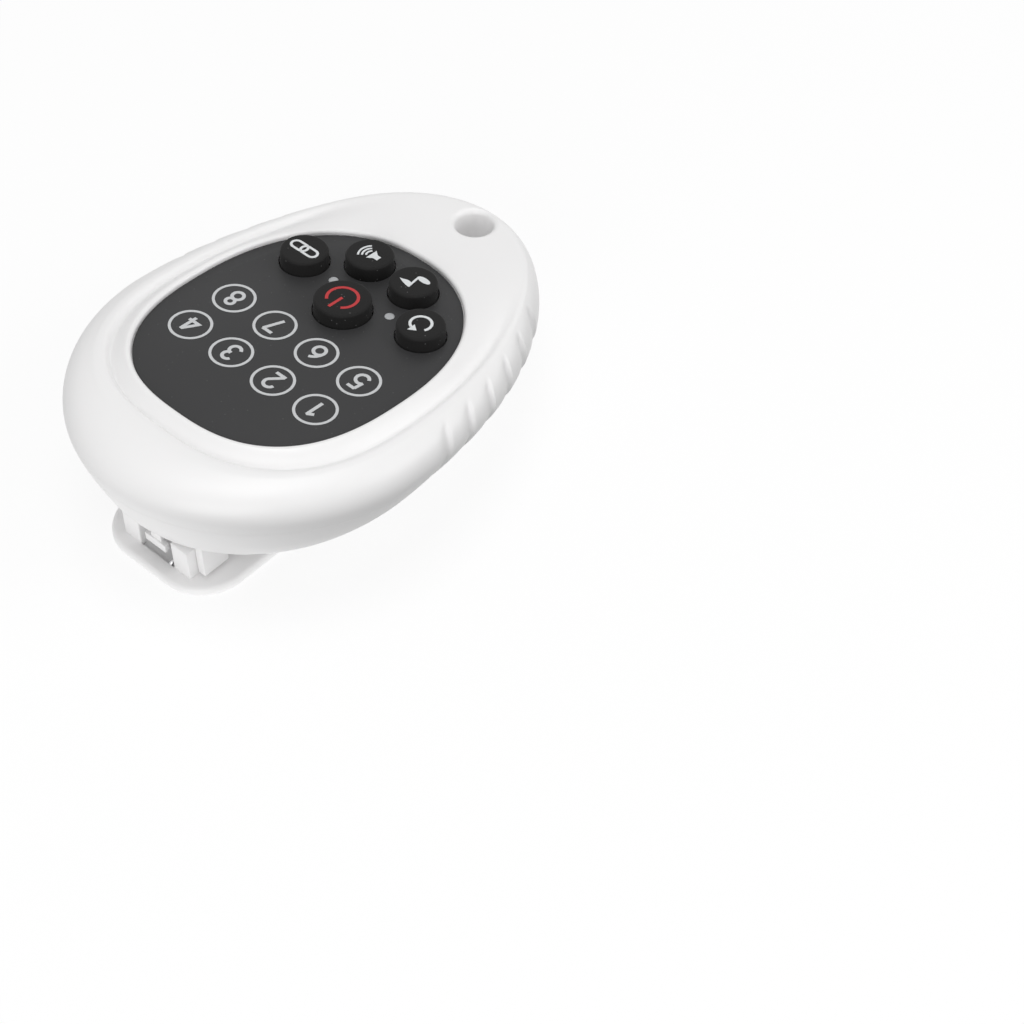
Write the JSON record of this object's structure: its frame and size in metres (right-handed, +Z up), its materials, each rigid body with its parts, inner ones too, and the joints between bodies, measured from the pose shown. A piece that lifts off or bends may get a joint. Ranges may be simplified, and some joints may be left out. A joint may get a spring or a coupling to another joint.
{
  "type": "caregiver pager",
  "caption": "Palm-sized egg-shaped receiver with numbered lights and rubber keys on a sloping face, a lanyard eye at the narrow end and a sprung belt clip behind.",
  "frame": {"origin": "middle of the part's box, on the ground under the clip plate", "axes": "+Z up out of the face, +Y towards the lanyard eye, +X towards the number 1 side"},
  "size_m": [0.068, 0.0916, 0.0302],
  "materials": {
    "shell": "fine satin, white",
    "door": "fine satin, white",
    "label": "matte dark grey foil with light print",
    "rubber": "matte black silicone",
    "carbon": "carbon pill",
    "guide": "opaque cell block",
    "clear": "cloudy clear",
    "board": "solder mask",
    "gold": "plated",
    "lamp": "clear",
    "chip": "moulded",
    "wire": "sleeved wire",
    "speaker": "satin",
    "cone": "pressed paper",
    "steel": "plated",
    "cell": "plain sleeve"
  },
  "bodies": {
    "housing": {"front_shell": "shell", "rear_cover": "shell", "clip_bracket": "shell", "face_label": "label", "key_mat": "rubber", "light_guide": "guide", "status_pipes": "clear", "circuit_board": "board", "radio_module": "board", "contact_pads": "gold", "number_leds": "lamp", "status_leds": "lamp", "main_chip": "chip", "antenna": "wire", "speaker_frame": "speaker", "speaker_cone": "cone", "speaker_magnet": "steel", "bridge_contact": "steel", "end_contacts": "steel", "board_screws": "steel", "case_screws": "steel", "clip_pin": "steel", "clip_spring": "steel", "cell_a": "cell", "cell_b": "cell"},
    "key_power_body": {"key_power": "rubber", "pill_power": "carbon"},
    "key_pair_body": {"key_pair": "rubber", "pill_pair": "carbon"},
    "key_volume_body": {"key_volume": "rubber", "pill_volume": "carbon"},
    "key_melody_body": {"key_melody": "rubber", "pill_melody": "carbon"},
    "key_reset_body": {"key_reset": "rubber", "pill_reset": "carbon"},
    "door": {"battery_door": "door"},
    "lever": {"clip_lever": "shell"}
  },
  "joints": [
    {"name": "lever_swing", "type": "hinge", "parent": "housing", "child": "lever", "pos_m": [0, -0.03442, 0.0054], "axis": [-1, 0, 0], "range_deg": [0, 8], "stiffness_Nm_per_rad": 0.5, "springref_deg": -22.92, "deforming": ["clip_spring"]},
    {"name": "door_slide", "type": "slide", "parent": "housing", "child": "door", "axis": [1, 0, 0], "range_m": [0, 0.05]},
    {"name": "power_press", "type": "slide", "parent": "housing", "child": "key_power_body", "axis": [0, -0.1011, -0.9949], "range_m": [0, 0.0008], "stiffness_N_per_m": 600, "springref_m": -0.0005},
    {"name": "pair_press", "type": "slide", "parent": "housing", "child": "key_pair_body", "axis": [0, -0.1011, -0.9949], "range_m": [0, 0.0008], "stiffness_N_per_m": 600, "springref_m": -0.0005},
    {"name": "volume_press", "type": "slide", "parent": "housing", "child": "key_volume_body", "axis": [0, -0.1011, -0.9949], "range_m": [0, 0.0008], "stiffness_N_per_m": 600, "springref_m": -0.0005},
    {"name": "melody_press", "type": "slide", "parent": "housing", "child": "key_melody_body", "axis": [0, -0.1011, -0.9949], "range_m": [0, 0.0008], "stiffness_N_per_m": 600, "springref_m": -0.0005},
    {"name": "reset_press", "type": "slide", "parent": "housing", "child": "key_reset_body", "axis": [0, -0.1011, -0.9949], "range_m": [0, 0.0008], "stiffness_N_per_m": 600, "springref_m": -0.0005}
  ]
}
